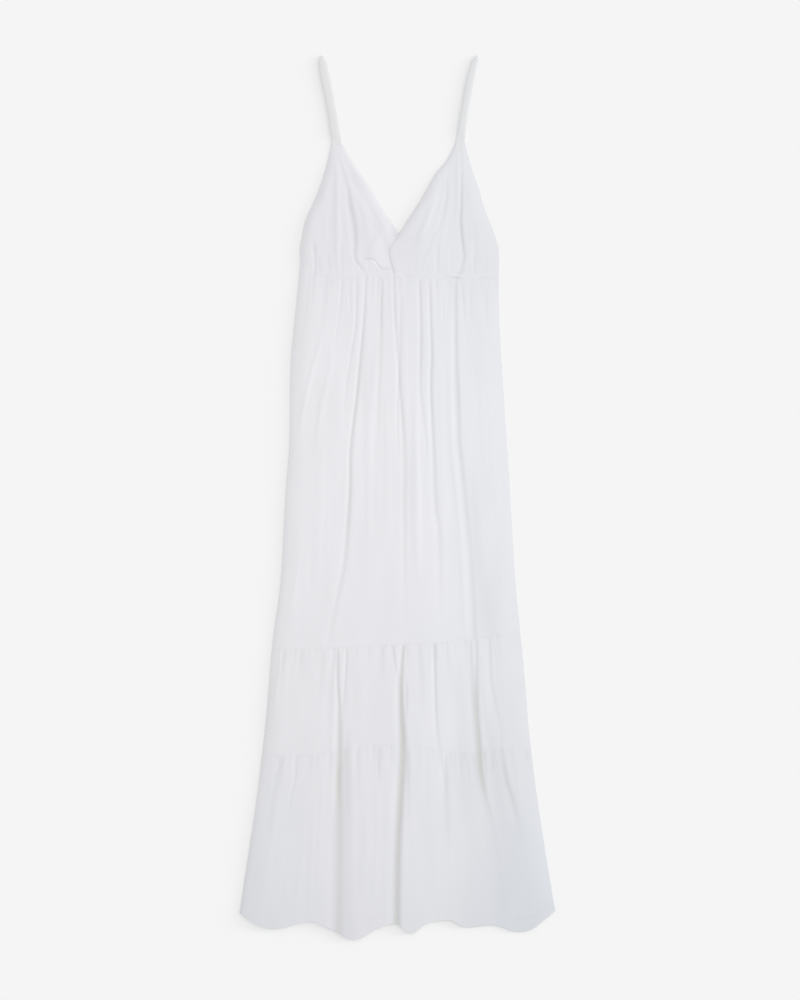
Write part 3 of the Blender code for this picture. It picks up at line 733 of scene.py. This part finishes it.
def run_along(rows, shift, first, last, count):
    """Points along a line of rows (position, value), with the value moved by the shift."""
    position = np.linspace(first, last, count)
    return np.column_stack([position, along(rows, position) + shift])


def matt(name, roughness, specular):
    """A new material and the inputs of its shader."""
    material = bpy.data.materials.new(name)
    material.use_nodes = True
    shader = material.node_tree.nodes["Principled BSDF"].inputs
    shader["Roughness"].default_value = roughness
    shader["Specular IOR Level"].default_value = specular
    return material, shader


def add_node(material, kind, inputs, **settings):
    """A new shader node. Its inputs are numbers, colours or other nodes' outputs."""
    node = material.node_tree.nodes.new("ShaderNode" + kind)
    for setting, value in settings.items():
        setattr(node, setting, value)
    for key, value in inputs.items():
        if isinstance(value, bpy.types.NodeSocket):
            material.node_tree.links.new(value, node.inputs[key])
        else:
            node.inputs[key].default_value = value
    return node


def add_ramp(material, value, rows):
    """A colour that changes with a value. The rows are of (value, colour)."""
    first, last = rows[0][0], rows[-1][0]
    level = add_node(material, "MapRange", {"Value": value, "From Min": first, "From Max": last})
    ramp = add_node(material, "ValToRGB", {0: level.outputs[0]})
    elements = ramp.color_ramp.elements
    for _ in range(len(rows) - 2):
        elements.new(0.5)
    for element, (stop, colour) in zip(elements, rows):
        element.position = (stop - first) / (last - first)
        element.color = colour + (1,)
    return ramp.outputs[0]


def add_mix(material, kind, factor, first, second):
    """Two colours mixed or multiplied."""
    colours = {0: factor, 6: first, 7: second}
    return add_node(material, "Mix", colours, data_type="RGBA", blend_type=kind).outputs[2]


def add_math(material, operation, first, second=0.0):
    """A sum, product or other function of one or two values."""
    return add_node(material, "Math", {0: first, 1: second}, operation=operation).outputs[0]


def add_noise(material, where, stretch, detail):
    """Noise with so many features to the metre along each axis."""
    place_in = add_node(material, "Mapping", {"Vector": where, "Scale": stretch}).outputs["Vector"]
    inputs = {"Vector": place_in, "Scale": 1.0, "Detail": detail}
    return add_node(material, "TexNoise", inputs).outputs["Fac"]


def cotton(name, lengthwise_rows):
    """Matt crinkled cotton with a fine plain weave, a soft mottle, painted shade along and across it, and
    darker, warmer painted shade in its creases.
    """
    material, shader = matt(name, roughness=0.95, specular=0.1)
    where = add_node(material, "TexCoord", {}).outputs["Object"]
    x, y, _ = add_node(material, "SeparateXYZ", {0: where}).outputs

    # The colour along the dress, across it, and towards its two lower corners, with painted shade darkening
    # the hem and the right side
    lengthwise, across = add_ramp(material, y, lengthwise_rows), add_ramp(material, x, ACROSS)
    base = add_mix(material, "MULTIPLY", 1.0, lengthwise, across)
    low = add_ramp(material, y, [(CORNERS_Y[0], (1, 1, 1)), (CORNERS_Y[1], (0, 0, 0))])
    base = add_mix(material, "MULTIPLY", low, base, add_ramp(material, x, CORNERS))

    # A soft mottle, longer along the dress than across it
    mottled = add_ramp(material, add_noise(material, where, MOTTLE, 3.0), MOTTLE_SHADE)
    base = add_mix(material, "MULTIPLY", 1.0, base, mottled)

    # The painted shade in the creases
    depth = add_node(material, "Attribute", {}, attribute_name="painted_crease_shade")
    strength = add_math(material, "POWER", depth.outputs["Fac"], CREASE_SHADE_POWER)
    on_cups = add_ramp(material, y, [(CUPS_Y[0], (0, 0, 0)), (CUPS_Y[1], (1, 1, 1))])
    shades = [add_ramp(material, strength, rows) for rows in (SKIRT_SHADE, CUP_SHADE)]
    base = add_mix(material, "MULTIPLY", 1.0, base, add_mix(material, "MIX", on_cups, *shades))
    material.node_tree.links.new(base, shader["Base Color"])

    # The weave is a product of two waves a thread apart, over the crinkle
    threads = [
        add_math(material, "SINE", add_math(material, "MULTIPLY", axis, 2 * math.pi / (THREAD_PITCH * MM)))
        for axis in (x, y)
    ]
    weave = add_math(material, "MULTIPLY", *threads)
    crinkle = add_noise(material, where, CRINKLE, 3.0)
    height = add_math(material, "ADD", crinkle, add_math(material, "MULTIPLY", weave, WEAVE_SHARE))
    inputs = {"Strength": BUMP_STRENGTH, "Distance": BUMP_HEIGHT * MM, "Height": height}
    bump = add_node(material, "Bump", inputs)
    material.node_tree.links.new(bump.outputs["Normal"], shader["Normal"])
    return material


def thread(name):
    """Sewing thread, a little brighter than the cloth, with a twist."""
    material, shader = matt(name, roughness=0.7, specular=0.25)
    where = add_node(material, "TexCoord", {}).outputs["Object"]
    colour = add_ramp(material, add_noise(material, where, TWIST, 1.0), THREAD_SHADE)
    material.node_tree.links.new(colour, shader["Base Color"])
    return material


COTTON = cotton("white_cotton", LENGTHWISE)
STRAP_COTTON = cotton("strap_cotton", STRAP_LENGTHWISE)
THREAD = thread("white_thread")


def rise_of(left, right, creases, **more):
    """The relief of a panel between two edges, as a function of across and down."""
    return lambda across, down: relief(across, down, left(down), right(down), creases, **more)


def make_back(name, head, foot, left, right, creases, flat, held, columns, rows):
    """A back panel. It lies flat on the floor, with shallow folds that stand up inside the hollow."""
    across, down, left_edge, right_edge = plan(head, foot, left, right, columns, rows)
    room, _ = relief(across, down, left_edge, right_edge, creases)
    _, folded = pressed(mirrored(creases), across, down)
    piece = shell("cloth_" + name, across, down, CLOTH + BACK_LIFT * room * folded, 0.0, COTTON)
    wear(piece, name)


def make_skirt_and_tiers():
    """The gathered skirt and the two tiers below it, front and back."""
    left, right = line_of(SIDE_LEFT), line_of(SIDE_RIGHT)
    small = gathers(GATHERS) + waves(WAVES, left, right)
    # Columns: name, head, foot, creases, how much shorter the back is, columns, rows, the back's rows, flat
    # size, and the line and shift of the stitches
    panels = [
        ("skirt", BAND_BOTTOM, TIER_SEAM_1, SKIRT_CREASES, 0.0, 320, 140, 70, (0.46, 0.62),
         TIER_SEAM_1, -STITCH_INSET),
        ("tier_middle", TIER_SEAM_1, TIER_SEAM_2, TIER_CREASES, 0.0, 320, 60, 24, (0.52, 0.19),
         TIER_SEAM_2, -STITCH_INSET),
        ("tier_hem", TIER_SEAM_2, HEM, TIER_CREASES, HEM_BACK_SHORTER, 340, 100, 36, (0.58, 0.31),
         HEM_LINE, STITCH_INSET),
    ]
    for name, head, foot, creases, shorter, columns, rows, back_rows, flat, sewn_line, sewn_shift in panels:
        rise = rise_of(left, right, creases + small)
        has_hem = name == "tier_hem"

        def top(across, down):
            turned_up = HEM_STEP * has_hem * ease((down - along(HEM_LINE, across)) / HEM_STEP_SOFT)
            return FRONT_LOW + rise(across, down)[0] + turned_up

        across, down, _, _ = plan(line_of(head), line_of(foot), left, right, columns, rows, crowding=1.2)
        if has_hem:
            # One more row, where the edge turns down to the floor
            across, down = (np.concatenate([grid, grid[-1:]]) for grid in (across, down))
            down[-2] -= HEM_TURN
        height, shade = top(across, down), rise(across, down)[1]
        if has_hem:
            height[-1] = FRONT_LOW
        front = shell("cloth_" + name + "_front", across, down, height, LAYER_TOP, COTTON, shade)
        level = sewn_line[0][1]
        first, last = left(level) + STITCH_END, right(level) - STITCH_END
        run = run_along(sewn_line, sewn_shift, first, last, count=160)
        sewn = stitches("stitches_" + name, [run], top)
        wear(front, name + "_front")
        make_back(
            name + "_back", line_of(head), line_of(foot, -shorter), left, right, creases + small, flat,
            "gathered", columns=220, rows=back_rows,
        )


def make_band():
    """The narrow band under the bust, front and back."""
    left, right = line_of(SIDE_LEFT), line_of(SIDE_RIGHT)
    ends = line_of(BAND_TOP), line_of(BAND_BOTTOM)
    flat, held = (0.34, 0.014), "laid"
    creases = SKIRT_CREASES + CUP_LEFT_CREASES + CUP_RIGHT_CREASES + cup_gathers(*BODICE_SPAN)
    rise = rise_of(left, right, creases, curls=BAND_CURLS)

    def top(across, down):
        return FRONT_LOW + rise(across, down)[0]

    across, down, _, _ = plan(*ends, left, right, columns=300, rows=20)
    shade = rise(across, down)[1]
    front = shell("cloth_underbust_band_front", across, down, top(across, down), LAYER_TOP, COTTON, shade)
    run = run_along(BAND_BOTTOM, -STITCH_INSET, *BAND_STITCHES, count=160)
    sewn = stitches("stitches_underbust_band", [run], top)
    wear(front, "underbust_band_front")
    make_back("underbust_band_back", *ends, left, right, creases, flat, held, columns=160, rows=3)


def make_bodice_back():
    """The low back of the bodice, between the side seams."""
    left, right = line_of(ARMHOLE_LEFT), line_of(ARMHOLE_RIGHT)
    ends = line_of(BACK_TOP), line_of(BAND_TOP)
    creases = cup_gathers(*BODICE_SPAN)
    make_back("bodice_back", *ends, left, right, creases, (0.36, 0.036), "laid", columns=160, rows=12)


def make_cups():
    """The two front cups. The right one laps over the left one at the centre front."""
    left_creases = CUP_LEFT_CREASES + cup_gathers(*CUP_LEFT_SPAN)
    right_creases = CUP_RIGHT_CREASES + cup_gathers(*CUP_RIGHT_SPAN)
    # Columns: name, how far down the apex is, its two edges, how far in the cloth rolls up from each, its
    # creases, those across it, how far down its rows of stitches end, and what it rests on
    cups = [
        ("cup_left", CUP_LEFT_APEX, ARMHOLE_LEFT, NECK_LEFT, (ROLL_LEFT, ROLL_NECK), left_creases,
         CUP_LEFT_CURLS, (345, 276), ["bodice_back"]),
        ("cup_right", CUP_RIGHT_APEX, NECK_RIGHT, ARMHOLE_RIGHT, (ROLL_LEFT, ROLL_RIGHT), right_creases,
         [], (345, 350), ["cup_left", "bodice_back"]),
    ]
    for name, apex, left_rows, right_rows, rolls, creases, curls, run_ends, rests_on in cups:
        left, right = line_of(left_rows), line_of(right_rows)
        rise = rise_of(left, right, creases + waves(CUP_WAVES, left, right), curls=curls, rolls=rolls)
        is_left = name == "cup_left"

        def floor(down):
            """The cup's lowest face, on the back of the bodice and above that on the floor."""
            return LAYER_TOP * ease((down - BACK_UNDER_TOP) / BACK_UNDER_COME)

        def thickness(across, down):
            """The cloth thins towards the edge that laps over the other cup."""
            thin = ease((down - LAP_TOP) / LAP_FADE) * (1 - ease((across - left(down)) / LAP_THIN))
            return CLOTH - (0 if is_left else CLOTH - LAP_EDGE) * thin

        def top(across, down):
            height = rise(across, down)[0]
            lap = ease((down - LAP_TOP) / LAP_FADE)
            if is_left:
                under = ease((across - along(NECK_RIGHT, down)) / UNDERLAP_FADE + 1)
                under = under * ease((down - UNDERLAP_TOP) / UNDERLAP_COME)
                room = np.maximum(LAP_LIFT * lap - CLOTH - EDGE_HEM_STEP, 0)
                height = height * (1 - under) + np.minimum(height, room) * under
                neck_edge = right(down) - across
            else:
                spread = ease((across - left(down)) / LAP_END)
                height = height * (1 - lap) + (LAP_LIFT * (1 - spread) + height * spread) * lap
                neck_edge = (across - left(down)) * (1 - lap) + EDGE_HEM * lap
            hem = EDGE_HEM_STEP * ease((EDGE_HEM - neck_edge) / EDGE_HEM_SOFT)
            hem = hem * ease((down - apex - EDGE_HEM_START) / EDGE_HEM_COME)
            return floor(down) + height + hem + thickness(across, down)

        top_line = line_of([(-1, apex), (1, apex)])
        ends = top_line, line_of(BAND_TOP)
        across, down, _, _ = plan(*ends, left, right, columns=150, rows=120, crowding=0.95)
        shade = rise(across, down)[1]
        low, thick = floor(down), thickness(across, down)
        piece = shell("cloth_" + name, across, down, top(across, down), low, COTTON, shade, thick)
        inset = EDGE_HEM - STITCH_INSET
        # The edges give across for each down, so the columns of their runs are turned round
        runs = [
            run_along(rows, shift, apex + STITCH_START, end, count=120)[:, ::-1]
            for rows, shift, end in zip((left_rows, right_rows), (inset, -inset), run_ends)
        ]
        sewn = stitches("stitches_" + name, runs, top)
        wear(piece, name)


def make_strap(name, middle, widths, apex, lean):
    """A strap from the top of a cup over its fold at the shoulder and down to the back of the bodice.

    The lean is where across the strap its tip lies, from -1 at its left edge to 1 at its right.
    """
    radius = STRAP_TOP / 2
    inner = radius - STRAP_CLOTH
    end_slope = (middle[-1][1] - middle[-2][1]) / (middle[-1][0] - middle[-2][0])

    def centre(down):
        return along(middle, down) + np.maximum(0.0, down - apex) * end_slope

    back_end = float(along(BACK_TOP, centre(BACK_TOP[1][1]))) - SEAM_GAP
    front_points, back_points, fold_points, points_across = STRAP_POINTS
    front = np.linspace(apex - SEAM_GAP, STRAP_FOLD, front_points)
    back = np.linspace(STRAP_FOLD, back_end, back_points)
    turn = np.linspace(0, math.pi, fold_points)
    end_height = STRAP_CLOTH + (STRAP_TOP - STRAP_CLOTH) * ease((apex - front) / STRAP_RISE)
    down_outer = np.concatenate([front, radius - radius * np.sin(turn), back])
    high_outer = np.concatenate([end_height, radius + radius * np.cos(turn), 0 * back])
    down_inner = np.concatenate([front, radius - inner * np.sin(turn), back])
    high_inner = np.concatenate([
        end_height - STRAP_CLOTH, radius + inner * np.cos(turn), 0 * back + radius - inner,
    ])
    s = np.linspace(-1, 1, points_across)[None, :]
    half = along(widths, down_outer)[:, None] / 2
    across = centre(down_outer)[:, None] + s * half
    grids = []
    for down, high in ((down_outer, high_outer), (down_inner, high_inner)):
        slant = TIP_SLANT * np.abs(s - lean) * ease((TIP_REACH - down[:, None]) / TIP_REACH)
        high = high[:, None] - STRAP_EDGE_DROP * s ** 4 * (high[:, None] > radius + inner)
        grids.append(place(across, down[:, None] + slant, high))
    every = np.concatenate([g.reshape(-1, 3) for g in grids])
    piece = cloth_object("cloth_" + name, every, skin_faces(*across.shape)[:, ::-1], STRAP_COTTON)
    wear(piece, name)


def make_straps():
    """Both shoulder straps."""
    make_strap("strap_left", STRAP_LEFT_MIDDLE, STRAP_LEFT_WIDTHS, CUP_LEFT_APEX, lean=0.2)
    make_strap("strap_right", STRAP_RIGHT_MIDDLE, STRAP_RIGHT_WIDTHS, CUP_RIGHT_APEX, lean=0.5)


def make_stage():
    """A plain pale floor under the dress."""
    mesh = bpy.data.meshes.new("floor")
    far, low = 12.0, -0.0003
    corners = [(-far, -far, low), (far, -far, low), (far, far, low), (-far, far, low)]
    mesh.from_pydata(corners, [], [(0, 1, 2, 3)])
    material, shader = matt("pale_floor", roughness=1.0, specular=0.0)
    shader["Base Color"].default_value = FLOOR_COLOUR
    mesh.materials.append(material)
    floor = add_object("floor", mesh)


def make_light():
    """A soft even dome, a broad light from the right, and a low one for the soft shadow on the left."""
    world = bpy.data.worlds.new("soft_dome")
    world.use_nodes = True
    background = world.node_tree.nodes["Background"]
    background.inputs["Color"].default_value = (1, 1, 1, 1)
    background.inputs["Strength"].default_value = DOME
    bpy.context.scene.world = world
    for name, strength, width, elevation, azimuth in LIGHTS:
        lamp = bpy.data.lights.new(name, "SUN")
        lamp.energy = strength
        lamp.angle = math.radians(width)
        light = add_object(name, lamp)
        light.rotation_euler = (math.radians(90 - elevation), 0, math.radians(azimuth + 90))


def make_camera():
    """Straight above the dress, with the framing of the photograph."""
    camera = bpy.data.cameras.new("camera")
    camera.sensor_width = 36.0
    camera.lens = camera.sensor_width * CAMERA_DISTANCE / PICTURE_HEIGHT
    camera.clip_end = 5 * CAMERA_DISTANCE
    rig = add_object("camera", camera)
    rig.location = (CENTRE_FRONT_OFFSET * MM, CAMERA_Y, CAMERA_DISTANCE)
    bpy.context.scene.camera = rig
    bpy.context.scene.view_settings.view_transform = "Standard"


make_camera()
make_light()
make_stage()
make_straps()
make_cups()
make_bodice_back()
make_band()
make_skirt_and_tiers()
